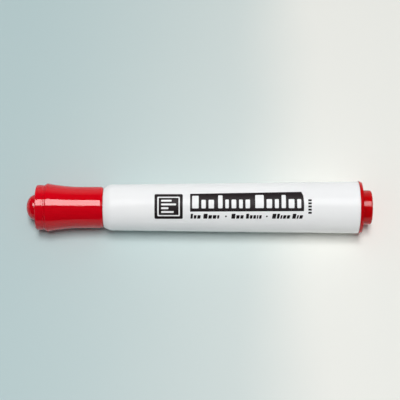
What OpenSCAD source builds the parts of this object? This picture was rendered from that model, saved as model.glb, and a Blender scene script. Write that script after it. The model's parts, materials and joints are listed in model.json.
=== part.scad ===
// Capped felt tip marker, lying along X: cap at -X, tail post at +X, resting on Z = 0.
// Every piece is drawn along one shared axis, measured in mm from the tip of the cap,
// and laid down at the end by on_table().

/* [Overall] */
// Length of the whole marker with its cap on
total_len = 120; // [98:1:150]
// Barrel diameter at the tail, the thickest of the barrel
body_d = 18.1; // [15:0.1:21.8]
// How much thinner the barrel is behind its shoulder than at the tail
barrel_taper = 2; // [0.6:0.1:2.4]

/* [Cap] */
// Length of the cap, from the tip of its nub to its mouth
cap_len = 26.87; // [26:0.01:32]
// How far the nub stands out of the crown
nub_len = 3.55; // [2.2:0.05:4]
// Diameter of the nub
nub_d = 8.8; // [6.6:0.1:9.4]
// Length of the crown band
band_len = 3.45; // [2.4:0.05:3.8]
// Radial rise of the flare over the straight part of the cap
flare_rise = 1.21; // [0.8:0.01:1.6]
// Wall of the cap at its mouth
cap_wall = 1.1; // [0.9:0.01:1.3]
// Gap between the cap's mouth and the barrel
cap_gap = 0.15; // [0.1:0.01:0.4]

/* [Barrel] */
// Wall of the barrel
barrel_wall = 1.4; // [1.2:0.05:1.7]
// Length of the rounded shoulder
shoulder_len = 2.9; // [2:0.1:3.6]
// Radial rise of the shoulder
shoulder_rise = 1.1; // [0.9:0.05:1.2]
// Number of ribs that hold the reservoir
rib_count = 6; // [3:1:8]

/* [Tail plug] */
// Length of the post that the cap fits on
post_len = 3.45; // [2.6:0.05:5]
// Thickness of the flange
flange_t = 1.1; // [0.6:0.05:1.4]
// How far the flange stands out past the barrel
flange_lip = 0.15; // [0.1:0.01:0.4]
// Length of the skirt inside the barrel
skirt_len = 10; // [8:0.1:12.5]

/* [Nib] */
// Diameter of the felt nib
nib_d = 5.2; // [4.3:0.1:6.3]
// How far the nib stands out of its holder
nib_out = 6.4; // [5.2:0.1:6.6]
// Slope of the long chisel face from the nib's axis
chisel_angle = 40; // [32:1:50]

/* [Fits] */
// Radial running gap between the cap and what it slides on
slide_gap = 0.05; // [0.02:0.01:0.1]
// Radial gap between the cap's bore and the tail post
post_gap = 0.1; // [0.05:0.01:0.2]
// Radial gap between pieces that are pushed home and stay there
seat_gap = 0.03; // [0.01:0.01:0.06]

/* [Hidden] */
$fn = 96;
eps = 0.01;

// Outer radii
tail_r = body_d / 2;
front_r = tail_r - barrel_taper / 2;
nose_r = front_r - shoulder_rise;
flange_r = tail_r + flange_lip;
cap_tube_r = nose_r + 0.25;
flare_r = cap_tube_r + flare_rise;
band_r = flare_r - 0.55;
bead_r = band_r + 0.2;
nub_r = nub_d / 2;

// Radii of what the cap slides on, from its bore inwards
bore_r = cap_tube_r - cap_wall;
socket_r = bore_r + 0.3;
neck_bead_r = bore_r - slide_gap;
neck_r = neck_bead_r - 0.2;
post_r = bore_r - post_gap;
spigot_r = neck_r - 0.7;
nib_r = nib_d / 2;
sleeve_r = nib_r + 0.9;
land_r = (neck_r + sleeve_r) / 2;
cone_r = nib_r + 0.75;

// Stations along the axis
shell_start = nub_len + band_len;
nose_s = cap_len + cap_gap;
flange_s = total_len - post_len - flange_t;
skirt_s = flange_s - skirt_len;
neck_len = 6.6;
land_len = 2.8;
cone_len = 1;
neck_s = nose_s - neck_len;
land_s = neck_s - land_len;
cone_s = land_s - cone_len;
nib_tip_s = cone_s - nib_out;
ledge_s = land_s + 1.4;
crown_plug_len = 2;
seal_s = shell_start + crown_plug_len;
shoulder_s = nose_s + shoulder_len;
front_wall = 3.8;
cavity_s = nose_s + front_wall;
counterbore_s = skirt_s - 1;
reservoir_s = cavity_s + 6.3;
reservoir_end_s = skirt_s;

// Inside the barrel
cavity_front_r = front_r - barrel_wall;
cavity_tail_r = tail_r - barrel_wall - 0.1;
counterbore_r = tail_r - barrel_wall;
rib_h = 0.35;
film_t = 0.12;
film_r = cavity_front_r - rib_h;
core_r = film_r - film_t - 0.02;
tube_r = 0.8;
tube_bore_r = 0.5;
tube_offset = core_r - tube_r - 0.02;
skirt_r = counterbore_r - seat_gap;
skirt_wall = 1.5;
click_h = 0.15;
click_s = flange_s - 5.5;

axis_z = flange_r;

module on_table() {
    translate([-total_len / 2, 0, axis_z]) rotate([0, 90, 0]) children();
}

// A cylinder between two stations
module rod(s0, s1, r0, r1) {
    translate([0, 0, s0]) cylinder(h = s1 - s0, r1 = r0, r2 = r1);
}

// A plain tube between two stations
module tube(s0, s1, outer, inner) {
    difference() {
        rod(s0, s1, outer, outer);
        rod(s0 - eps, s1 + eps, inner, inner);
    }
}

// Wedge ribs or slots: flat bars set round the axis, reaching from r_in to r_out
module spokes(count, s0, s1, r_in, r_out, width) {
    for (i = [0 : count - 1])
        rotate([0, 0, (i + 0.5) * 360 / count])
            translate([r_in, -width / 2, s0])
                cube([r_out - r_in, width, s1 - s0]);
}

// Outline of the flared cap shell, from the parting line to the mouth
flare_s = shell_start + 0.3;
flare_end_s = flare_s + 11.9;
flare_steps = 16;
function flare_at(t) = [cap_tube_r + flare_rise * pow(1 - t, 1.85),
                        flare_s + t * (flare_end_s - flare_s)];

module shell_outline() {
    lip = 0.3;
    polygon(concat(
        [[0, shell_start], [flare_r - 0.22, shell_start], [flare_r - 0.06, flare_s - 0.14]],
        [for (i = [0 : flare_steps]) flare_at(i / flare_steps)],
        [[cap_tube_r, cap_len - 0.8], [cap_tube_r - lip / 3, cap_len - 0.3],
         [cap_tube_r - lip, cap_len], [0, cap_len]]));
}

module cap_shell() {
    relief_s = ledge_s + 1.5;
    relief_end_s = cap_len - 1.2;
    relief_r = bore_r + 0.12;
    color("crimson") on_table() {
        difference() {
            rotate_extrude() shell_outline();
            rod(shell_start - eps, ledge_s, socket_r, socket_r);
            rod(ledge_s - eps, cap_len + eps, bore_r, bore_r);
            rod(relief_s, relief_end_s, relief_r, relief_r);
            rod(cap_len - 0.4, cap_len + eps, bore_r, bore_r + 0.4);
        }
        // Grip ribs, which the bead on the neck rides on
        difference() {
            spokes(6, relief_s - 0.1, relief_end_s + 0.1, bore_r - 1, relief_r + 0.2, 1.2);
            rod(relief_s - 1, relief_end_s + 1, bore_r, bore_r);
        }
    }
}

module crown_outline() {
    edge = 0.5;
    groove_s = shell_start - 1.1;
    bead_s = shell_start - 0.5;
    translate([0, nub_len]) square([band_r - edge, band_len]);
    translate([0, nub_len + edge]) square([band_r, groove_s - nub_len - edge]);
    translate([band_r - edge, nub_len + edge]) circle(edge);
    translate([0, groove_s]) square([band_r - 0.1, shell_start - groove_s]);
    translate([0, bead_s]) square([bead_r - 0.05, shell_start - bead_s]);
}

module nub_outline() {
    // Half an ellipse, as long as the dome, on short straight sides
    dome_len = nub_len * 0.84;
    steps = 14;
    polygon(concat(
        [for (i = [0 : steps])
            [nub_r * sin(90 * i / steps), dome_len * (1 - cos(90 * i / steps))]],
        [[nub_r, nub_len + 0.3], [0, nub_len + 0.3]]));
}

module cap_crown() {
    color("crimson") on_table() difference() {
        union() {
            rotate_extrude() nub_outline();
            rotate_extrude() crown_outline();
            rod(shell_start - eps, seal_s, socket_r - seat_gap, socket_r - seat_gap);
        }
        rod(nub_len - 1, seal_s + eps, nub_r - 1.5, nub_r - 1.5);
        // Ring-shaped core-out that keeps the band's wall even
        difference() {
            rod(nub_len + 1.1, seal_s + eps, socket_r - 1.2, socket_r - 1.2);
            rod(nub_len, seal_s + 2 * eps, nub_r - 0.4, nub_r - 0.4);
        }
    }
}

module cap_seal() {
    floor_t = 0.7;
    grip_s = ledge_s - 2;
    lead_in = 0.6;
    mouth_r = land_r + slide_gap;
    cup_r = land_r - 0.4;
    color("ivory") on_table() difference() {
        rod(seal_s, ledge_s, socket_r - seat_gap, socket_r - seat_gap);
        rod(seal_s + floor_t, ledge_s + eps, cup_r, cup_r);
        rod(grip_s - lead_in, grip_s + eps, cup_r, mouth_r);
        rod(grip_s, ledge_s + eps, mouth_r, mouth_r);
        rod(ledge_s - lead_in, ledge_s + eps, mouth_r, mouth_r + lead_in);
        // Relief round the outside, so that only the two rims press on the shell
        difference() {
            rod(seal_s + 1.2, grip_s - 1, socket_r + 1, socket_r + 1);
            rod(seal_s, grip_s, cup_r + 1, cup_r + 1);
        }
    }
}

module barrel_outline() {
    steps = 10;
    corner = 0.25;
    polygon(concat(
        [[0, nose_s]],
        [for (i = [0 : steps])
            [nose_r + shoulder_rise * sin(90 * i / steps), nose_s + shoulder_len * i / steps]],
        [[tail_r, flange_s - corner], [tail_r - 0.08, flange_s - 0.08],
         [tail_r - corner, flange_s], [0, flange_s]]));
}

module barrel() {
    groove = click_h + 0.05;
    color("white") on_table() {
        difference() {
            rotate_extrude() barrel_outline();
            rod(nose_s - eps, cavity_s + eps, spigot_r + seat_gap, spigot_r + seat_gap);
            rod(cavity_s, counterbore_s + eps, cavity_front_r, cavity_tail_r);
            rod(counterbore_s, flange_s + eps, counterbore_r, counterbore_r);
            rod(click_s - 0.1, click_s + 1.1, counterbore_r + groove, counterbore_r + groove);
            rod(flange_s - 0.4, flange_s + eps, counterbore_r, counterbore_r + 0.4);
        }
        difference() {
            intersection() {
                spokes(rib_count, reservoir_s + 1, counterbore_s - 2, film_r - 1, tail_r, 0.9);
                rod(cavity_s, counterbore_s, cavity_front_r + 0.2, cavity_tail_r + 0.2);
            }
            rod(cavity_s, counterbore_s, film_r + seat_gap, film_r + seat_gap);
        }
    }
}

module nib_holder() {
    sleeve_bore_r = nib_r + 0.25;
    room_r = spigot_r - 0.85;
    room_s = neck_s + 2;
    bead_s = nose_s - 3.4;
    snap_s = cavity_s + 0.1;
    color("whitesmoke") on_table() {
        difference() {
            union() {
                rod(cone_s, land_s, cone_r, land_r);
                rod(land_s, neck_s + eps, land_r, land_r);
                rod(neck_s, neck_s + 0.9, land_r, neck_r);
                rod(neck_s + 0.9, nose_s, neck_r, neck_r);
                rod(bead_s - 0.4, bead_s + eps, neck_r, neck_bead_r);
                rod(bead_s, bead_s + 0.8, neck_bead_r, neck_bead_r);
                rod(bead_s + 0.8 - eps, bead_s + 1.2, neck_bead_r, neck_r);
                rod(nose_s - 1.2, nose_s, neck_bead_r, neck_bead_r);
                rod(nose_s - eps, reservoir_s, spigot_r, spigot_r);
                rod(snap_s, snap_s + 1.2, spigot_r + 0.2, spigot_r);
            }
            rod(cone_s - eps, cavity_s + eps, sleeve_bore_r, sleeve_bore_r);
            difference() {
                rod(room_s, reservoir_s + eps, room_r, room_r);
                rod(room_s - eps, cavity_s, sleeve_r, sleeve_r);
            }
            // Slots that let air past and give the legs their spring
            spokes(4, cavity_s + 1.8, reservoir_s + eps, room_r - 1, spigot_r + 1, 2.4);
        }
        // Ribs that grip the nib and leave air channels between them
        difference() {
            spokes(6, cone_s + 0.6, cavity_s - 0.5, nib_r - 0.5, sleeve_bore_r + 0.2, 0.7);
            rod(cone_s, cavity_s, nib_r + 0.01, nib_r + 0.01);
        }
        // Webs between the sleeve and the neck
        difference() {
            spokes(4, room_s - eps, cavity_s - 1.5, sleeve_r - 0.3, room_r + 0.3, 0.8);
            rod(room_s - 1, cavity_s, sleeve_bore_r, sleeve_bore_r);
        }
    }
}

module nib() {
    back_s = reservoir_s + 5.5;
    point_len = 2.4;
    edge_r = 1.2;
    back_tilt = 24;
    color("maroon") on_table() difference() {
        union() {
            rod(nib_tip_s, back_s - point_len + eps, nib_r, nib_r);
            rod(back_s - point_len, back_s, nib_r, nib_r * 0.45);
        }
        // The long chisel face
        chisel_cut(-edge_r, chisel_angle - 90);
        // The short face behind the edge
        chisel_cut(-edge_r, back_tilt);
    }
}

// Takes away what lies in front of a sloping face through the writing edge
module chisel_cut(at_x, tilt) {
    size = 8 * nib_r;
    translate([at_x, 0, nib_tip_s]) rotate([0, tilt, 0])
        translate([-size / 2, -size / 2, -size]) cube([size, size, size]);
}

module reservoir_core() {
    hole_len = 6;
    color("mistyrose") on_table() difference() {
        rod(reservoir_s, reservoir_end_s, core_r, core_r);
        rod(reservoir_s - eps, reservoir_s + hole_len, nib_r + 0.02, nib_r + 0.02);
        translate([-tube_offset, 0, reservoir_s - eps])
            cylinder(h = reservoir_end_s - reservoir_s + 2 * eps, r = tube_r + 0.05);
    }
}

module reservoir_film() {
    color("gainsboro") on_table() tube(reservoir_s, reservoir_end_s, film_r, film_r - film_t);
}

module breather_tube() {
    color("lightgray") on_table() translate([-tube_offset, 0, 0])
        tube(reservoir_s + 0.5, reservoir_end_s - 0.5, tube_r, tube_bore_r);
}

module plug_outline() {
    edge = 0.2;
    post_edge = 0.7;
    post_s = flange_s + flange_t;
    // Flange, rounded at its rim
    translate([0, flange_s]) square([flange_r - edge, flange_t]);
    translate([0, flange_s + edge]) square([flange_r, flange_t - 2 * edge]);
    translate([flange_r - edge, flange_s + edge]) circle(edge);
    translate([flange_r - edge, post_s - edge]) circle(edge);
    // Post, rounded at its end
    translate([0, post_s - eps]) square([post_r, post_len - post_edge + eps]);
    translate([0, post_s]) square([post_r - post_edge, post_len]);
    translate([post_r - post_edge, total_len - post_edge]) circle(post_edge);
}

module end_plug() {
    hollow_r = skirt_r - skirt_wall;
    post_hollow_r = post_r - 1.3;
    color("firebrick") on_table() difference() {
        union() {
            rotate_extrude() plug_outline();
            rod(skirt_s, skirt_s + 0.8, skirt_r - 0.3, skirt_r);
            rod(skirt_s + 0.8 - eps, flange_s + eps, skirt_r, skirt_r);
            rod(click_s, click_s + 0.4, skirt_r, skirt_r + click_h);
            rod(click_s + 0.4 - eps, click_s + 1, skirt_r + click_h, skirt_r + click_h);
        }
        rod(skirt_s - eps, flange_s, hollow_r, hollow_r);
        rod(skirt_s, total_len - 1.4, post_hollow_r, post_hollow_r);
        // Notches between the legs that stop the reservoir
        spokes(4, skirt_s - eps, skirt_s + 3.5, hollow_r - 1, skirt_r + 1, 3);
    }
}

barrel();
nib_holder();
nib();
reservoir_core();
reservoir_film();
breather_tube();
end_plug();
cap_shell();
cap_crown();
cap_seal();
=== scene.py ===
# %% [markdown]
# # A capped felt tip marker, from turned profiles to ink
# The marker is a row of turned pieces on one axis: a white barrel, a red cap with a flared
# sleeve and a nub, and a red plug with a post. This lesson builds each piece as a mesh of its
# own around a measured frame, gives it a procedural finish, and lights it softly.
#
# The frame is loaded first. It holds the plain parts at their true sizes, in metres, and says
# which of them move together, so every place below is read from it.

# %% Load the measured frame
import json
import math

import bmesh
import bpy
from mathutils import Matrix, Vector


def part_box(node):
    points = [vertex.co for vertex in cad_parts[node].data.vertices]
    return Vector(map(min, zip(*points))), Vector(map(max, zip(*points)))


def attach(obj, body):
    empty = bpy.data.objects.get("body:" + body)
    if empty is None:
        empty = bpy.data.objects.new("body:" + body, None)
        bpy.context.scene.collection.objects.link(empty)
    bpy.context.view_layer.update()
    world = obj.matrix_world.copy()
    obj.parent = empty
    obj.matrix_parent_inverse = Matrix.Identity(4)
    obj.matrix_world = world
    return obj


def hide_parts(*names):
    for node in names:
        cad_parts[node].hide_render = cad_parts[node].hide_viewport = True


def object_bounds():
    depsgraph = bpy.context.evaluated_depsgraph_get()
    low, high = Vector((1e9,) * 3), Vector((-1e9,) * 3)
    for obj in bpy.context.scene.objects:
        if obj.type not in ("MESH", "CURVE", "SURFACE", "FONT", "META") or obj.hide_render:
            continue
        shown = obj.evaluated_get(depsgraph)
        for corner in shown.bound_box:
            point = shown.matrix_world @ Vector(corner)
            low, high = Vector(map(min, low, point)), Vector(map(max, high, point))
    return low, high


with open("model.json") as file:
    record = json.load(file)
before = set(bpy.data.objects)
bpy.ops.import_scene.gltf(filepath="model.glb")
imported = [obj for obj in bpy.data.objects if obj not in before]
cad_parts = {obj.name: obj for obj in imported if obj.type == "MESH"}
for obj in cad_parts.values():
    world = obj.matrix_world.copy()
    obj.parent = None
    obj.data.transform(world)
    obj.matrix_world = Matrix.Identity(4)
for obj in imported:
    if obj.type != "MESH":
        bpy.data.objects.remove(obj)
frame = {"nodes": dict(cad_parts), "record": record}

frame_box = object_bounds()
MM = 0.001
for body, nodes in frame["record"]["behaviour"]["bodies"].items():
    print("body", body, "holds", sorted(nodes))
print("box:", frame_box)

# %% [markdown]
# ## One axis for everything
# Each piece shares the marker's axis, so a place is given by two numbers, as on a lathe: how
# far along the axis it is, counted from the tip of the cap, and how far out from the axis.
# Both are in millimetres, which is how such a part is drawn. `span` reads them off the frame.

# %% Stations and radii from the frame
cap_tip_x = frame_box[0][0]
axis_height = (frame_box[0][2] + frame_box[1][2]) / 2


def span(node):
    """Where a part of the frame starts and ends along the axis, and its largest radius."""
    low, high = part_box(node)
    return ((low[0] - cap_tip_x) / MM, (high[0] - cap_tip_x) / MM, (high[1] - low[1]) / 2 / MM)


parting_s, mouth_s, flare_r = span("cap_shell")
_, crown_end_s, bead_r = span("cap_crown")
nose_s, flange_s, tail_r = span("barrel")
skirt_s, tail_s, flange_r = span("end_plug")
neck_front_s, legs_s, neck_bead_r = span("nib_holder")
edge_s, nib_back_s, nib_r = span("nib")
seal_s, ledge_s, seal_r = span("cap_seal")
for name, value in {"parting line": parting_s, "cap mouth": mouth_s, "barrel nose": nose_s,
                    "flange": flange_s, "tail": tail_s}.items():
    print(f"{name} at {value:.2f} mm")

# %% [markdown]
# ## Turning a profile
# A moulded plastic tube has no sharp corner: each edge is rounded by a few tenths of a
# millimetre, and that rounding is what catches the light. Three ways to get it are a bevel
# modifier, a subdivision surface, or rounding the profile before it is turned. The last keeps
# every radius exact, and costs no extra faces where the wall is straight. `soften` rounds the
# corners of a profile, and `turned` spins it round the axis.

# %% Round the corners of a profile
TIGHT = 0.02


def soften(corners, steps=5):
    """Corners are (station, radius) or (station, radius, softness), all in mm."""
    outline = []
    for i, corner in enumerate(corners):
        here = Vector(corner[:2])
        soft = corner[2] if len(corner) > 2 else 0
        if not soft or i in (0, len(corners) - 1):
            outline.append(here)
            continue
        before, after = Vector(corners[i - 1][:2]) - here, Vector(corners[i + 1][:2]) - here
        soft_in, soft_out = min(soft, before.length * 0.48), min(soft, after.length * 0.48)
        start, end = here + before.normalized() * soft_in, here + after.normalized() * soft_out
        outline.append(start + before.normalized() * min(TIGHT, soft_in * 0.3))
        for k in range(steps + 1):
            t = k / steps
            outline.append(start * (1 - t) ** 2 + here * 2 * t * (1 - t) + end * t * t)
        outline.append(end + after.normalized() * min(TIGHT, soft_out * 0.3))
    return outline


# %% Spin a profile round the axis
SLICES = 192


def on_axis(station, radius, angle):
    """A point in the marker's frame; an angle of 0 is straight up, and grows towards +Y."""
    return Vector((cap_tip_x + station * MM, radius * MM * math.sin(angle),
                   axis_height + radius * MM * math.cos(angle)))


def turned(name, outline, body, finish, stands_for=None, slices=SLICES, reshape=None):
    """A solid of revolution. A profile that starts and ends off the axis closes into a ring."""
    build = bmesh.new()
    rings = []
    for s, r in outline:
        if r < 1e-6:
            rings.append([build.verts.new(on_axis(s, 0, 0))])
            continue
        ring = []
        for j in range(slices):
            angle = 2 * math.pi * j / slices
            ring.append(build.verts.new(on_axis(s, reshape(s, r, angle) if reshape else r, angle)))
        rings.append(ring)
    pairs = list(zip(rings, rings[1:]))
    if len(rings[0]) > 1 and len(rings[-1]) > 1:
        pairs.append((rings[-1], rings[0]))
    for near, far in pairs:
        for j in range(slices):
            k = (j + 1) % slices
            if len(near) == 1 and len(far) == 1:
                break
            if len(near) == 1:
                build.faces.new((near[0], far[k], far[j]))
            elif len(far) == 1:
                build.faces.new((near[j], near[k], far[0]))
            else:
                build.faces.new((near[j], near[k], far[k], far[j]))
    bmesh.ops.recalc_face_normals(build, faces=build.faces)
    return settle(name, build, body, finish, stands_for)


def settle(name, build, body, finish, stands_for=None, crease=35):
    """Turn a bmesh into an object that rides on a body and has its finish."""
    mesh = bpy.data.meshes.new(name)
    build.to_mesh(mesh)
    build.free()
    mesh.polygons.foreach_set("use_smooth", [True] * len(mesh.polygons))
    mesh.set_sharp_from_angle(angle=math.radians(crease))
    piece = bpy.data.objects.new(name, mesh)
    bpy.context.scene.collection.objects.link(piece)
    mesh.materials.append(finish)
    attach(piece, body)
    if stands_for:
        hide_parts(stands_for)
    print(f"{name}: {len(mesh.polygons)} faces")
    return piece


# %% [markdown]
# ## Finishes as sums
# A finish is a small sum: a colour, plus a little mottling, plus a smudge where fingers hold
# it. Wiring that by hand takes a long list of nodes, so `Amount` wraps a socket and lets
# Python's own signs add the Math nodes. `Bench` adds any other node, to a material or to the
# backdrop, and `Finish` is a bench with a material on it.

# %% A number that changes over a surface
class Amount:
    """An output socket that can be added, multiplied and clipped like a number."""

    def __init__(self, bench, socket):
        self.bench, self.socket = bench, socket

    def _math(self, operation, *values):
        return self.bench.node("ShaderNodeMath", {"operation": operation}, *values)

    def __add__(self, other):
        return self._math("ADD", self, other)

    def __radd__(self, other):
        return self._math("ADD", other, self)

    def __sub__(self, other):
        return self._math("SUBTRACT", self, other)

    def __rsub__(self, other):
        return self._math("SUBTRACT", other, self)

    def __mul__(self, other):
        return self._math("MULTIPLY", self, other)

    def __rmul__(self, other):
        return self._math("MULTIPLY", other, self)

    def between(self, low, high):
        """0 below low, 1 above high, and a smooth step from one to the other."""
        return self.bench.node("ShaderNodeMapRange", {"interpolation_type": "SMOOTHSTEP"},
                               Value=self, **{"From Min": low, "From Max": high})


# %% A node tree under construction
class Bench:
    """Adds nodes to a tree, one by one."""

    def __init__(self, tree):
        self.tree = tree

    def node(self, kind, settings=None, *values, out=None, **named):
        """Add a node: its settings first, then the values or links of its sockets."""
        made = self.tree.nodes.new(kind)
        for key, value in (settings or {}).items():
            setattr(made, key, value)
        sockets = [s for s in made.inputs if s.enabled]
        pairs = list(zip(sockets, values))
        pairs += [(next(s for s in sockets if s.name == key), value)
                  for key, value in named.items()]
        for socket, value in pairs:
            if isinstance(value, Amount):
                self.tree.links.new(value.socket, socket)
            elif socket.type == "RGBA":
                socket.default_value = (*value[:3], 1)
            else:
                socket.default_value = value
        outputs = [s for s in made.outputs if s.enabled]
        return Amount(self, next((s for s in outputs if s.name == out), outputs[0]))


# %% A material under construction
class Finish(Bench):
    """A procedural material on the Principled shader."""

    def __init__(self, name, **constants):
        self.material = bpy.data.materials.new(name)
        self.material.use_nodes = True
        super().__init__(self.material.node_tree)
        self.shader = self.tree.nodes["Principled BSDF"]
        for socket, value in constants.items():
            self.shader.inputs[socket.replace("_", " ")].default_value = value
        self.place = self.node("ShaderNodeTexCoord", out="Object")

    def speckle(self, size_mm, stretch=1, detail=2, roughness=0.5, offset=0):
        """Noise with grains of a given size, drawn out along the marker by stretch."""
        spot = self.node("ShaderNodeMapping", None, self.place, (offset, offset, offset),
                         (0, 0, 0), (1 / stretch, 1, 1))
        return self.node("ShaderNodeTexNoise", None, Vector=spot, Scale=1 / (size_mm * MM),
                         Detail=detail, Roughness=roughness)

    def along(self):
        """How far a place is along X in mm, from the origin of the thing it lies on."""
        return self.node("ShaderNodeSeparateXYZ", None, self.place, out="X") * (1 / MM)

    def blend(self, factor, first, second):
        """From one colour to another."""
        return self.node("ShaderNodeMix", {"data_type": "RGBA"}, Factor=factor, A=first, B=second)

    def relief(self, height, depth_mm):
        """A height from 0 to 1 as a bump of a real depth."""
        return self.node("ShaderNodeBump", None, Strength=1, Distance=depth_mm * MM,
                         Height=height)

    def done(self, **linked):
        """Link what varies to the shader, and hand back the material."""
        for socket, value in linked.items():
            self.tree.links.new(value.socket, self.shader.inputs[socket.replace("_", " ")])
        return self.material


# %% [markdown]
# ## Moulded plastic
# Polypropylene from a polished mould is glossy, but not a mirror. It keeps a faint ripple
# called orange peel, flow marks drawn out along the piece, and it picks up hairline scratches
# and the dull film of fingers. A ripple of a few microns is enough to make a highlight live.
# The white barrel reflects less than the red cap, so its specular level is lower.

# %% A recipe for moulded plastic
def moulded(name, colour, deep, level, smooth, worn, sink=0.02):
    """Glossy plastic: a colour and a second shade of it, specular level, roughness new and
    worn, and how deep in mm the broad sink marks are."""
    plastic = Finish(name, Specular_IOR_Level=level, IOR=1.49)
    cloud = plastic.speckle(9, stretch=3)
    flow = plastic.speckle(0.5, stretch=40, detail=3)
    touched = plastic.speckle(6, stretch=1.4, detail=5, roughness=0.62, offset=3)
    fingers = touched.between(0.5, 0.72)
    hairs = plastic.speckle(0.11, stretch=60, detail=1, offset=7).between(0.7, 0.78)
    ripple = plastic.speckle(1.3, stretch=1.5, detail=1)
    grain = plastic.speckle(0.09, detail=1)
    shade = plastic.blend(cloud.between(0.3, 0.7) * 0.6 + flow * 0.4, colour, deep)
    gloss = smooth + (worn - smooth) * (flow * 0.35 + fingers * 0.5 + hairs * 0.35)
    fine = ripple * 0.0034 + grain * 0.0004 - hairs * 0.0005
    broad = plastic.speckle(8, stretch=1.6, detail=0, offset=11) * sink
    return plastic.done(Base_Color=shade, Roughness=gloss, Normal=plastic.relief(fine + broad, 1))


# %% The plastics of this marker
barrel_white = moulded("barrel_white", (0.85, 0.855, 0.865), (0.88, 0.885, 0.885),
                       0.085, 0.1, 0.24)
cap_red = moulded("cap_red", (0.69, 0.0009, 0.0095), (0.63, 0.0007, 0.007),
                  0.5, 0.045, 0.15, 0.05)
crown_red = moulded("crown_red", (0.68, 0.0009, 0.0105), (0.62, 0.0007, 0.008),
                    0.5, 0.055, 0.16, 0.03)
plug_red = moulded("plug_red", (0.56, 0.0006, 0.003), (0.51, 0.0005, 0.0026), 0.32, 0.09, 0.22)
holder_white = moulded("holder_white", (0.8, 0.81, 0.81), (0.76, 0.77, 0.765), 0.35, 0.3, 0.42)
seal_natural = moulded("seal_natural", (0.78, 0.77, 0.7), (0.72, 0.71, 0.63), 0.4, 0.4, 0.5)
print("plastics:", [plastic.name for plastic in (barrel_white, cap_red, crown_red, plug_red,
                                                 holder_white, seal_natural)])

# %% [markdown]
# ## The barrel
# The barrel is a long tube, a little thinner behind its shoulder than at its tail, because a
# moulded tube needs some draft to leave the mould. The shoulder swells as a quarter of a wave.
# Its tail edge is rounded, so that a fine dark line shows where the plug's flange meets it.

# %% Turn the barrel
taper = 1.0
shoulder_len, shoulder_rise, shoulder_rings = 2.9, 1.1, 24
barrel_wall = 1.4
bead_rise, spigot_wall, nose_depth = 0.2, 0.67, 3.8
lead_in, tail_chamfer, seat_step, short = 0.2, 0.4, 0.1, 0.02

front_r = tail_r - taper
nose_r = front_r - shoulder_rise
tail_bore_r = tail_r - barrel_wall
neck_r = neck_bead_r - bead_rise
spigot_hole_r = neck_r - spigot_wall
cavity_s = nose_s + nose_depth
seat_s = skirt_s - 1

shoulder = [(nose_s + shoulder_len * k / shoulder_rings,
             nose_r + shoulder_rise * math.sin(math.pi / 2 * k / shoulder_rings))
            for k in range(1, shoulder_rings + 1)]
barrel_outline = soften(
    [(nose_s, spigot_hole_r + lead_in), (nose_s, nose_r, 0.12), *shoulder,
     (flange_s, tail_r, 0.3),
     (flange_s, tail_bore_r + tail_chamfer, 0.05), (flange_s - tail_chamfer, tail_bore_r),
     (seat_s, tail_bore_r), (seat_s - short, tail_bore_r - seat_step),
     (cavity_s, front_r - barrel_wall), (cavity_s, spigot_hole_r),
     (nose_s + lead_in, spigot_hole_r)])
barrel = turned("barrel_body", barrel_outline, "marker", barrel_white, "barrel")

# %% [markdown]
# ## The cap
# The cap is two mouldings: a sleeve that flares towards its closed end, so that fingers can
# pull on it, and a crown pressed into it, with a nub. The flare is a power curve, steep at the
# parting line and flat by the middle. The lip of its mouth turns in. Inside, six low ribs grip
# the neck; they are cut into the bore by bending the radius of the turned profile.

# %% Turn the cap's sleeve
slide_gap, press_gap = 0.05, 0.03
flare_len, flare_rise, flare_power, flare_rings = 11.9, 1.21, 1.85, 44
lip_len, lip_turn, lip_lead_in = 0.95, 0.33, 0.4
rib_height, rib_half_width, rib_every = 0.12, 0.6, 60

tube_r = flare_r - flare_rise
bore_r = neck_bead_r + slide_gap
socket_r = seal_r + press_gap
relief_r = bore_r + rib_height
flare_start_s = parting_s + 0.3
relief_from, relief_to = ledge_s + 1.5, mouth_s - 1.2

flare = [(flare_start_s + flare_len * t, tube_r + flare_rise * (1 - t) ** flare_power)
         for t in (k / flare_rings for k in range(flare_rings + 1))]
sleeve_outline = soften(
    [(parting_s, socket_r), (parting_s, flare_r - 0.2, 0.08),
     (*flare[0], 0.22), *flare[1:],
     (mouth_s - lip_len, tube_r, 0.2), (mouth_s, tube_r - lip_turn, 0.1),
     (mouth_s, bore_r + lip_lead_in, 0.1), (mouth_s - lip_lead_in, bore_r, 0.12),
     (relief_to, bore_r), (relief_to - short, relief_r),
     (relief_from + short, relief_r), (relief_from, bore_r), (ledge_s, bore_r),
     (ledge_s, socket_r)])


def grip_ribs(station, radius, angle):
    """Where a rib runs, the relieved bore stays at the bore's own radius."""
    in_relief = relief_from < station < relief_to and abs(radius - relief_r) < 0.001
    off_centre = (math.degrees(angle) + rib_every / 2) % rib_every - rib_every / 2
    beside_rib = abs(off_centre) * math.radians(1) * bore_r
    return bore_r if in_relief and beside_rib < rib_half_width else radius


sleeve = turned("cap_sleeve", sleeve_outline, "cap", cap_red, "cap_shell",
                slices=240, reshape=grip_ribs)

# %% [markdown]
# ## The cap's crown
# The crown's nub is half an ellipse on a short straight foot. Around the band run a shallow
# groove and a fine bead, and at the middle of the nub is the gate mark, the shallow dimple
# where the plastic entered the mould. It could be a bump in the finish, but an edge that one
# can feel belongs in the mesh.

# %% Turn the cap's crown
nub_r, nub_len, dome_len = 4.4, 3.55, 2.98
band_step = 0.55
groove_depth, groove_side = 0.11, 0.08
gate_r, gate_depth, gate_rim = 0.36, 0.1, 0.06
crown_wall, crown_floor = 1.5, 1.0

band_r = flare_r - band_step
groove_r = band_r - groove_depth
groove_from, groove_to = parting_s - 1.1, parting_s - 0.49
bead_top_r = bead_r - 0.01
plug_in_r = socket_r - press_gap

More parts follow.
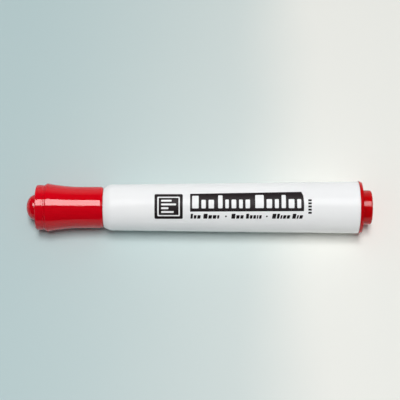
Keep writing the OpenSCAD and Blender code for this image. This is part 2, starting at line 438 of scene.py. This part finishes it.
dome = [(dome_len * (1 - math.cos(math.radians(a))), nub_r * math.sin(math.radians(a)))
        for a in range(7, 91, 4)]
crown_outline = soften(
    [(gate_depth, 0), (gate_depth, gate_r, 0.1), (gate_depth * 0.3, gate_r + gate_rim, 0.03),
     *dome, (nub_len, nub_r, 0.22), (nub_len, band_r, 0.5), (groove_from, band_r, 0.1),
     (groove_from + groove_side, groove_r, 0.05), (groove_to - groove_side, groove_r, 0.05),
     (groove_to, bead_top_r, 0.12), (parting_s - 0.03, bead_top_r, 0.12),
     (parting_s - short, plug_in_r), (crown_end_s, plug_in_r), (crown_end_s, nub_r - crown_wall),
     (nub_len - crown_floor, nub_r - crown_wall), (nub_len - crown_floor, 0)])
crown = turned("cap_crown_moulding", crown_outline, "cap", crown_red, "cap_crown",
               slices=240)

# %% [markdown]
# ## The sealing cup
# Felt dries out in hours in an open cap, so the cap holds a cup of soft natural polyethylene
# whose rim closes on the neck. It only shows when one looks into the cap's mouth.

# %% Turn the sealing cup
nib_sleeve_wall = 0.9
cup_wall, cup_floor, cup_foot, cup_collar, rim_ease = 1.0, 0.7, 1.2, 1.0, 0.6

land_r = (neck_r + nib_r + nib_sleeve_wall) / 2
cup_r, rim_r = land_r - 0.4, land_r + slide_gap
rim_s = ledge_s - 2
cup_outline = soften(
    [(seal_s, 0), (seal_s, seal_r, 0.1), (seal_s + cup_foot, seal_r, 0.08),
     (seal_s + cup_foot, cup_r + cup_wall), (rim_s - cup_collar, cup_r + cup_wall),
     (rim_s - cup_collar, seal_r, 0.08), (ledge_s, seal_r, 0.08),
     (ledge_s, rim_r + rim_ease, 0.1), (ledge_s - rim_ease, rim_r, 0.15), (rim_s, rim_r, 0.1),
     (rim_s - rim_ease, cup_r, 0.1), (seal_s + cup_floor, cup_r, 0.3), (seal_s + cup_floor, 0)])
cup = turned("sealing_cup", cup_outline, "cap", seal_natural, "cap_seal",
             slices=144)

# %% [markdown]
# ## The tail plug
# The plug closes the barrel after the ink rod has gone in. Its flange stands a little proud of
# the barrel, with a bevelled rim, and the cap fits on its post while the marker is in use. The
# post's far edge has a large soft radius, and its end has a gate mark like the nub's.

# %% Turn the tail plug
flange_t, flange_land, flange_bevel = 1.1, 0.25, 0.32
skirt_wall, skirt_taper, skirt_taper_len = 1.5, 0.3, 0.8
post_ease, post_wall, post_end_wall = 0.1, 1.3, 1.4

post_r = bore_r - post_ease
post_s = flange_s + flange_t
skirt_r = tail_bore_r - press_gap
hollow_r, hollow_s = post_r - post_wall, tail_s - post_end_wall
plug_outline = soften(
    [(skirt_s, skirt_r - skirt_wall), (skirt_s, skirt_r - skirt_taper),
     (skirt_s + skirt_taper_len, skirt_r), (flange_s, skirt_r), (flange_s, flange_r, 0.1),
     (flange_s + flange_land, flange_r, 0.2), (post_s, flange_r - flange_bevel, 0.12),
     (post_s, post_r, 0.16), (tail_s, post_r, 0.75), (tail_s, gate_r + 0.08, 0.05),
     (tail_s - gate_depth, gate_r, 0.05), (tail_s - gate_depth, 0)], steps=7)
hollow = [Vector(corner) for corner in (
    (hollow_s, 0), (hollow_s, hollow_r), (flange_s, hollow_r), (flange_s, skirt_r - skirt_wall))]
plug = turned("tail_plug", hollow + plug_outline, "marker", plug_red, "end_plug",
              slices=240)
print("post radius", round(post_r, 3), "flange radius", round(flange_r, 3))

# %% [markdown]
# ## The neck and the nib
# Under the cap, a white neck carries the nib. It has a bead that the cap clicks over, a smooth
# land for the sealing cup, and a short cone. The nib is a rod of pressed polyester felt, cut
# to a chisel by two flats. It could be modelled face by face, but slicing a rod by planes is
# what the nib maker's blade does. A cut edge of felt is never crisp, so each is bevelled, and
# the fibres are a bump in the finish.

# %% Turn the neck
nib_ease, front_wall = 0.06, 0.75
land_from, land_to, cone_to = 1.0, 3.8, 4.7
bead_ramp, bead_len = 0.4, 0.8
collar_len, collar_step = 1.2, 0.05
leg_wall = 0.85

bead_s = nose_s - 3.4
bead_end_s = bead_s + bead_len
nib_hole_r = nib_r + nib_ease
spigot_r = spigot_hole_r - press_gap
leg_r = spigot_hole_r - leg_wall
neck_outline = soften(
    [(neck_front_s, nib_hole_r), (neck_front_s, nib_r + front_wall, 0.15),
     (neck_front_s + land_from, land_r, 0.2), (neck_front_s + land_to, land_r, 0.15),
     (neck_front_s + cone_to, neck_r, 0.25), (bead_s - bead_ramp, neck_r, 0.1),
     (bead_s, neck_bead_r, 0.12), (bead_end_s, neck_bead_r, 0.12),
     (bead_end_s + bead_ramp, neck_r, 0.1), (nose_s - collar_len, neck_r, 0.05),
     (nose_s - collar_len + collar_step, neck_bead_r, 0.05), (nose_s, neck_bead_r),
     (nose_s, spigot_r), (legs_s, spigot_r), (legs_s, leg_r), (cavity_s, leg_r),
     (cavity_s, nib_hole_r)])
neck = turned("nib_neck", neck_outline, "marker", holder_white, "nib_holder",
              slices=144)

# %% A finish for felt
def felt(name, wet, dry):
    """Pressed fibres that run along the rod, darker where they are soaked."""
    cloth = Finish(name, Specular_IOR_Level=0.2, Sheen_Weight=0.35, Sheen_Roughness=0.5)
    fibres = cloth.speckle(0.12, stretch=9, detail=4, roughness=0.7)
    tufts = cloth.speckle(0.45, stretch=2, detail=3, offset=5)
    soak = (fibres * 0.6 + tufts * 0.5).between(0.35, 0.75)
    return cloth.done(Base_Color=cloth.blend(soak, wet, dry), Roughness=0.75 + fibres * 0.25,
                      Normal=cloth.relief(fibres * 0.7 + tufts * 0.3, 0.08))


nib_felt = felt("nib_felt", (0.16, 0.003, 0.01), (0.42, 0.012, 0.03))
ink_fibre = felt("ink_fibre", (0.42, 0.02, 0.035), (0.66, 0.12, 0.13))
print("felts:", [cloth.name for cloth in (nib_felt, ink_fibre)])

# %% Cut the nib
nib_slices, ring_step, front_rings = 64, 0.35, 36
writing_edge, edge_bevel = 1.2, 0.16
chisel_slope, back_slope = math.radians(40), math.radians(66)
nib_tip_s = edge_s - 1

nib_build = bmesh.new()
nib_rings = [nib_tip_s + ring_step * k for k in range(front_rings)]
nib_rings += [16.5, 24, 32, nib_back_s - 2.4]
grid = [[nib_build.verts.new(on_axis(s, nib_r, 2 * math.pi * j / nib_slices))
         for j in range(nib_slices)] for s in nib_rings]
for near, far in zip(grid, grid[1:]):
    for j in range(nib_slices):
        k = (j + 1) % nib_slices
        nib_build.faces.new((near[j], near[k], far[k], far[j]))
nib_build.faces.new(grid[0])
nib_build.faces.new(list(reversed(grid[-1])))


def slice_off(slope, towards_up):
    """Cut the rod by a flat through its writing edge, and close the cut."""
    through = on_axis(edge_s, writing_edge, 0)
    away = Vector((-math.sin(slope), 0, towards_up * math.cos(slope)))
    everything = nib_build.verts[:] + nib_build.edges[:] + nib_build.faces[:]
    cut = bmesh.ops.bisect_plane(nib_build, geom=everything, plane_co=through, plane_no=away,
                                 clear_outer=True)
    rim = [item for item in cut["geom_cut"] if isinstance(item, bmesh.types.BMEdge)]
    bmesh.ops.edgeloop_fill(nib_build, edges=rim)


slice_off(chisel_slope, -1)
slice_off(back_slope, 1)
bmesh.ops.recalc_face_normals(nib_build, faces=nib_build.faces)
neck_front_x = on_axis(neck_front_s, 0, 0).x
crisp = [e for e in nib_build.edges if len(e.link_faces) == 2 and e.calc_face_angle() > 0.35
         and all(v.co.x < neck_front_x for v in e.verts)]
bmesh.ops.bevel(nib_build, geom=crisp, offset=edge_bevel * MM, segments=3, profile=0.5,
                affect="EDGES", clamp_overlap=True)
nib = settle("felt_nib", nib_build, "marker", nib_felt, "nib", crease=60)

# %% [markdown]
# ## Inside the barrel
# The ink rod, its thin wrap and the breather tube never show, but they are there, with a
# finish each, for anyone who takes the marker apart. Their frame parts have the right shape
# already, so they keep their meshes and only change their material.

# %% Finish the inner parts
wrap_film = moulded("wrap_film", (0.8, 0.81, 0.82), (0.74, 0.75, 0.76), 0.5, 0.12, 0.2)
tube_clear = moulded("tube_clear", (0.82, 0.82, 0.8), (0.78, 0.78, 0.75), 0.5, 0.15, 0.25)
inner_finishes = {"reservoir_core": ink_fibre, "reservoir_film": wrap_film,
                  "breather_tube": tube_clear}
for node, finish in inner_finishes.items():
    part = frame["nodes"][node]
    part.data.materials.clear()
    part.data.materials.append(finish)
    print(node, "is finished in", finish.name)

# %% [markdown]
# ## The printing
# The barrel is printed in one black ink. The real ink film is a few hundredths of a millimetre
# thick and follows the curve, so each mark is a thin closed shell wrapped round the barrel. A
# mark starts as flat outlines, with holes where the white shows through. Blender's own 2D
# curve fills them, the flat sheet is cut into narrow strips, and the strips are bent round.
# A painted texture would be quicker, but the shells keep their crisp edge at any distance.
# The marks are plain blocks and bars of a generic layout: a picture of a board, a banner, a
# caption row and five short bars by the tail.

# %% Ink, and where the printing faces
def printing_ink():
    """Dull black, a little thin in places, with the fine tooth of a printing screen."""
    ink = Finish("print_ink", Specular_IOR_Level=0.1, IOR=1.5)
    thin = ink.speckle(0.25, detail=3, roughness=0.6).between(0.55, 0.8)
    screen = ink.speckle(0.06, detail=1)
    shade = ink.blend(thin * 0.6, (0.014, 0.0105, 0.0115), (0.03, 0.025, 0.026))
    return ink.done(Base_Color=shade, Roughness=0.42 + thin * 0.1,
                    Normal=ink.relief(screen, 0.0015))


print_ink = printing_ink()
print_centre = math.radians(-20)
print_start_s = nose_s + 30
ink_thickness, ink_root = 0.02, 0.01
strip_width, strip_len = 0.3, 4.0
print("printing starts at", round(print_start_s, 2), "mm")


def barrel_radius(station):
    """The barrel's outside at a station behind the shoulder, where it is a plain cone."""
    start = nose_s + shoulder_len
    return front_r + taper * (station - start) / (flange_s - start)


# %% Outlines: arcs, blocks and discs
def arc(x, y, radius, turn, sweep, steps):
    """Points on a circle in mm, from one angle on, in degrees."""
    angles = [math.radians(turn + sweep * k / steps) for k in range(steps + 1)]
    return [(x + radius * math.cos(angle), y + radius * math.sin(angle)) for angle in angles]


def block(left, low, right, high, soft, lean=0.0):
    """A rectangle in mm, with round corners, leaning to the right at its top by lean."""
    soft = min(soft, (right - left) / 2 - 0.001, (high - low) / 2 - 0.001)
    corners = ((right - soft, high - soft, 0), (left + soft, high - soft, 90),
               (left + soft, low + soft, 180), (right - soft, low + soft, 270))
    points = [point for x, y, turn in corners for point in arc(x, y, soft, turn, 90, 6)]
    return [(x + lean * (y - low) / (high - low), y) for x, y in points]


def disc(x, y, radius):
    """A circle in mm."""
    return arc(x, y, radius, 0, 360, 16)[:-1]


# %% Fill the outlines and wrap them round the barrel
def filled(outlines):
    """A flat mesh of the outlines; an outline inside another is a hole in it."""
    curve = bpy.data.curves.new("outline", "CURVE")
    curve.dimensions, curve.fill_mode = "2D", "BOTH"
    for points in outlines:
        spline = curve.splines.new("POLY")
        spline.points.add(len(points) - 1)
        for point, (x, y) in zip(spline.points, points):
            point.co = (x, y, 0, 1)
        spline.use_cyclic_u = True
    holder = bpy.data.objects.new("outline", curve)
    bpy.context.scene.collection.objects.link(holder)
    settled = bpy.context.evaluated_depsgraph_get()
    flat = bpy.data.meshes.new_from_object(holder.evaluated_get(settled))
    build = bmesh.new()
    build.from_mesh(flat)
    bpy.data.objects.remove(holder)
    bpy.data.curves.remove(curve)
    bpy.data.meshes.remove(flat)
    bmesh.ops.remove_doubles(build, verts=build.verts, dist=1e-5)
    return build


def printed(name, outlines):
    """A thin closed shell of ink: x runs along the barrel from the banner's edge, y round it."""
    build = filled(outlines)
    for across, step in ((Vector((0, 1, 0)), strip_width), (Vector((1, 0, 0)), strip_len)):
        places = [vert.co.dot(across) for vert in build.verts]
        first, last = min(places), max(places)
        for k in range(1, int((last - first) / step) + 1):
            everything = build.verts[:] + build.edges[:] + build.faces[:]
            bmesh.ops.bisect_plane(build, geom=everything, plane_co=across * (first + step * k),
                                   plane_no=across, dist=1e-5)
    lifted = bmesh.ops.extrude_face_region(build, geom=build.faces[:])
    for item in lifted["geom"]:
        if isinstance(item, bmesh.types.BMVert):
            item.co.z = 1
    for vert in build.verts:
        station = print_start_s + vert.co.x
        radius = barrel_radius(station)
        lift = ink_thickness if vert.co.z > 0.5 else -ink_root
        vert.co = on_axis(station, radius + lift, print_centre + vert.co.y / radius)
    bmesh.ops.recalc_face_normals(build, faces=build.faces)
    return settle(name, build, "marker", print_ink)


# %% Draw the marks
def dummy_word(left, right, low, shares, tall, small, soft, lean, gap):
    """A run of plain blocks that fills a width, as dummy copy does: the shares are the widths
    of the blocks beside each other, and those marked with a minus are tall."""
    scale = (right - left - gap * (len(shares) - 1)) / sum(abs(share) for share in shares)
    run, x = [], left
    for share in shares:
        width = abs(share) * scale
        run.append(block(x, low, x + width, low + (tall if share < 0 else small), soft, lean))
        x += width + gap
    return run


banner_edge = [(0, -1.41), (38.95, -1.24), (39.0, 1.6), (38.75, 4.2), (38.15, 5.75), (0, 4.97)]
banner = [banner_edge]
for left, right, low, shares, tall, small in (
        (0.7, 8.2, -0.3, (-2.4, 1.6, 2.0), 4.5, 3.0),
        (9.6, 20.5, -0.25, (-1.8, 1.4, 1.9, 1.5, 1.8), 4.6, 3.05),
        (22.3, 38.0, -0.2, (-2.8, 1.8, 1.3, -1.4, 1.9, 1.3), 4.7, 3.15)):
    banner += dummy_word(left, right, low, shares, tall, small, soft=0.3, lean=0.0, gap=0.95)
banner_print = printed("print_banner", banner)

board_edge, board_inside, board_face = (
    block(-12.2, -4.05, -2.5, 4.85, 0.5), block(-11.2, -3.05, -3.5, 3.85, 0.3),
    block(-10.75, -2.6, -3.95, 3.4, 0.15))
board_lines = [block(-9.9, low, right, low + 0.65, 0.2)
               for low, right in ((2.05, -6.3), (0.75, -4.8), (-0.55, -7.4), (-1.85, -5.6))]
picture_print = printed("print_picture", [board_edge, board_inside, board_face] + board_lines)

caption = [disc(12.27, -3.1, 0.3), disc(26.27, -3.1, 0.3)]
for left, right, shares, lean in (
        (0.1, 3.5, (-1.0, 1.2, 1.4), 0.15), (4.5, 9.9, (-1.4, 1.2, 1.2, 0.7), 0.15),
        (14.1, 18.2, (-1.3, 1.1, 1.0), 0.15), (19.1, 24.4, (-1.2, 1.1, 1.1, 0.6, 1.0), 0.15),
        (28.0, 34.0, (-1.3, -0.9, 0.6, 1.0, 1.0), 0.3), (34.9, 38.4, (-1.2, 0.6, 1.1), 0.3)):
    caption += dummy_word(left, right, -3.95, shares, tall=1.8, small=1.3, soft=0.15, lean=lean,
                          gap=0.3)
caption_print = printed("print_caption", caption)

side_bars = [block(40.4, -2.15 + 1.08 * k, 41.6, -1.45 + 1.08 * k, 0.15) for k in range(5)]
side_print = printed("print_side_mark", side_bars)

# %% [markdown]
# ## The table
# The marker lies on a plain pale table. Its colour is painted from a dim cool grey to a
# bright warm white towards the tail, a painted fall of light across the set. The plug's flange
# is wider than the cap, so a real marker tips by less than half a degree until both touch. The
# table is tipped instead, under a marker that stays level, which keeps every piece where the
# frame has it.

# %% Lay the table
def table_top():
    """A matte pale surface with a faint tooth. Places are counted from the plug's flange, and the
    colour is painted brighter and warmer in two steps, a painted fall of light: a broad one,
    and a steeper one under the barrel's rear."""
    top = Finish("table_pale", Specular_IOR_Level=0.25)
    place = top.along() + top.speckle(60, detail=2) * 12 - 6
    # Painted light: the table's colour is made brighter and warmer towards the tail, standing in
    # for a fall of light across the set.
    painted_light_ramp = place.between(-135, 0) * 0.55 + place.between(-45, -10) * 0.45
    tooth = top.speckle(0.8, detail=2)
    tone = top.blend(painted_light_ramp, (0.49, 0.63, 0.64), (0.915, 0.92, 0.87))
    return top.done(Base_Color=tone, Roughness=0.5 + tooth * 0.1, Normal=top.relief(tooth, 0.01))


flange_x = cap_tip_x + (flange_s + flange_t / 2) * MM
cap_ring_x = cap_tip_x + flare_start_s * MM
table_tip = math.atan((flange_r - flare_r) * MM / (flange_x - cap_ring_x))
half, clearance = 4.0, 0.02 * MM
corners = ((-half, -half), (half, -half), (half, half), (-half, half))
table_mesh = bpy.data.meshes.new("table_top")
table_mesh.from_pydata([(x - flange_x, y, -(x - flange_x) * math.tan(table_tip))
                        for x, y in corners], [], [(0, 1, 2, 3)])
table = bpy.data.objects.new("table_top", table_mesh)
table.location = (flange_x, 0, frame_box[0][2] - clearance)
bpy.context.scene.collection.objects.link(table)
table_mesh.materials.append(table_top())
print("table tipped by", round(math.degrees(table_tip), 3), "degrees")

# %% [markdown]
# ## Light
# A studio shows gloss and form with different lights. A long soft box overhead makes the
# crisp band along the plastic: it is seen in reflections, and lights nothing. Five large
# panels light the matte colours, and are not seen in reflections. Flags keep light off parts
# of a studio's set, and light linking does it here. Four panels light only the marker, and one
# of those leaves out the cap and the plug, whose red needs less. The fifth lights only the
# table, from nearly straight above, so its size and place set the shadow and nothing else.

# %% Hang the lights
middle = Vector((0, 0, axis_height))


def panel(name, elevation, distance, size, radiance, reflects=False):
    """A rectangular light. Elevation runs from the front, 0, over the top, 90, to the back."""
    light = bpy.data.lights.new(name, "AREA")
    light.shape, light.size, light.size_y = "RECTANGLE", size[0], size[1]
    light.energy = radiance * math.pi * size[0] * size[1]
    lamp = bpy.data.objects.new(name, light)
    rise = math.radians(elevation)
    back = Vector((0, -math.cos(rise), math.sin(rise)))
    across = Vector((1, 0, 0))
    lamp.location = middle + back * distance
    lamp.rotation_euler = Matrix((across, back.cross(across), back)).transposed().to_euler()
    lamp.visible_glossy, lamp.visible_diffuse = reflects, not reflects
    lamp.visible_camera = False
    bpy.context.scene.collection.objects.link(lamp)
    return lamp


def lights_only(lamp, pieces):
    """Keep a light off everything but these pieces."""
    group = bpy.data.collections.new("under_" + lamp.name)
    for piece in pieces:
        group.objects.link(piece)
    lamp.light_linking.receiver_collection = group


prints = (banner_print, picture_print, caption_print, side_print)
marker_pieces = (barrel, sleeve, crown, cup, plug, neck, nib) + prints
barrel_side = (barrel, neck, nib) + prints
panel("soft_box", 95.5, 0.9, (1.0, 0.5), 10, reflects=True)
for name, elevation, distance, size, radiance, pieces in (
        ("top_panel", 95, 1.6, (2.2, 0.68), 3.5, marker_pieces),
        ("back_panel", 160, 1.6, (2.2, 0.8), 1.0, marker_pieces),
        ("front_panel", 35, 2.0, (2.4, 1.6), 0.56, barrel_side),
        ("wide_panel", 100, 1.0, (5.0, 5.0), 0.31, marker_pieces),
        ("table_panel", 88.5, 1.6, (0.3, 0.78), 26, (table,))):
    lights_only(panel(name, elevation, distance, size, radiance), pieces)
    print(name, "lights", len(pieces), "pieces")

# %% [markdown]
# ## The backdrop
# A glossy tube mirrors the whole room, so what lies round the set matters as much as the
# lights. The backdrop could be a picture of a studio. Here it is simpler, and does as well: a
# dim even light for the matte colours, and in reflections a glow from straight behind.

# %% Paint the backdrop
world = bpy.data.worlds.new("studio")
world.use_nodes = True
bpy.context.scene.world = world
sky = Bench(world.node_tree)
backdrop = sky.tree.nodes["Background"]
backdrop.inputs["Color"].default_value = (0.97, 0.99, 1, 1)
mirrored = sky.node("ShaderNodeLightPath", out="Is Glossy Ray")
direction = sky.node("ShaderNodeTexCoord", out="Generated")
backwards = sky.node("ShaderNodeSeparateXYZ", None, direction, out="Y")
glow = sky.node("ShaderNodeMapRange", None, Value=backwards,
                **{"From Min": 0.78, "From Max": 1, "To Min": 0.015, "To Max": 0.62})
strength = sky.node("ShaderNodeMapRange", None, Value=mirrored,
                    **{"To Min": 0.15, "To Max": glow})
sky.tree.links.new(strength.socket, backdrop.inputs["Strength"])
print("backdrop:", len(sky.tree.nodes), "nodes")

# %% [markdown]
# ## Camera
# The view is from high in front, with a long lens, so that the marker shows its true outline.
# The camera stands straight in front of the marker, so it lies level in the view, and aims a
# little above and to the right of its middle. A lens shift would frame it as well, but moving
# the aim keeps the lens plain.

# %% Set the camera
view_elevation = math.radians(70)
view_distance = 0.44
aim_up, aim_right = 2.58 * MM, 0.42 * MM

back = Vector((0, -math.cos(view_elevation), math.sin(view_elevation)))
right = Vector((1, 0, 0))
up = back.cross(right)
camera = bpy.data.objects.new("camera", bpy.data.cameras.new("camera"))
camera.data.lens, camera.data.sensor_width = 113.6, 36
camera.data.clip_start, camera.data.clip_end = 0.01, 20
camera.rotation_euler = Matrix((right, up, back)).transposed().to_euler()
camera.location = middle + up * aim_up + right * aim_right + back * view_distance
bpy.context.scene.collection.objects.link(camera)
bpy.context.scene.camera = camera
bpy.context.scene.view_settings.view_transform = "Standard"
print("camera at", [round(v, 3) for v in camera.location])
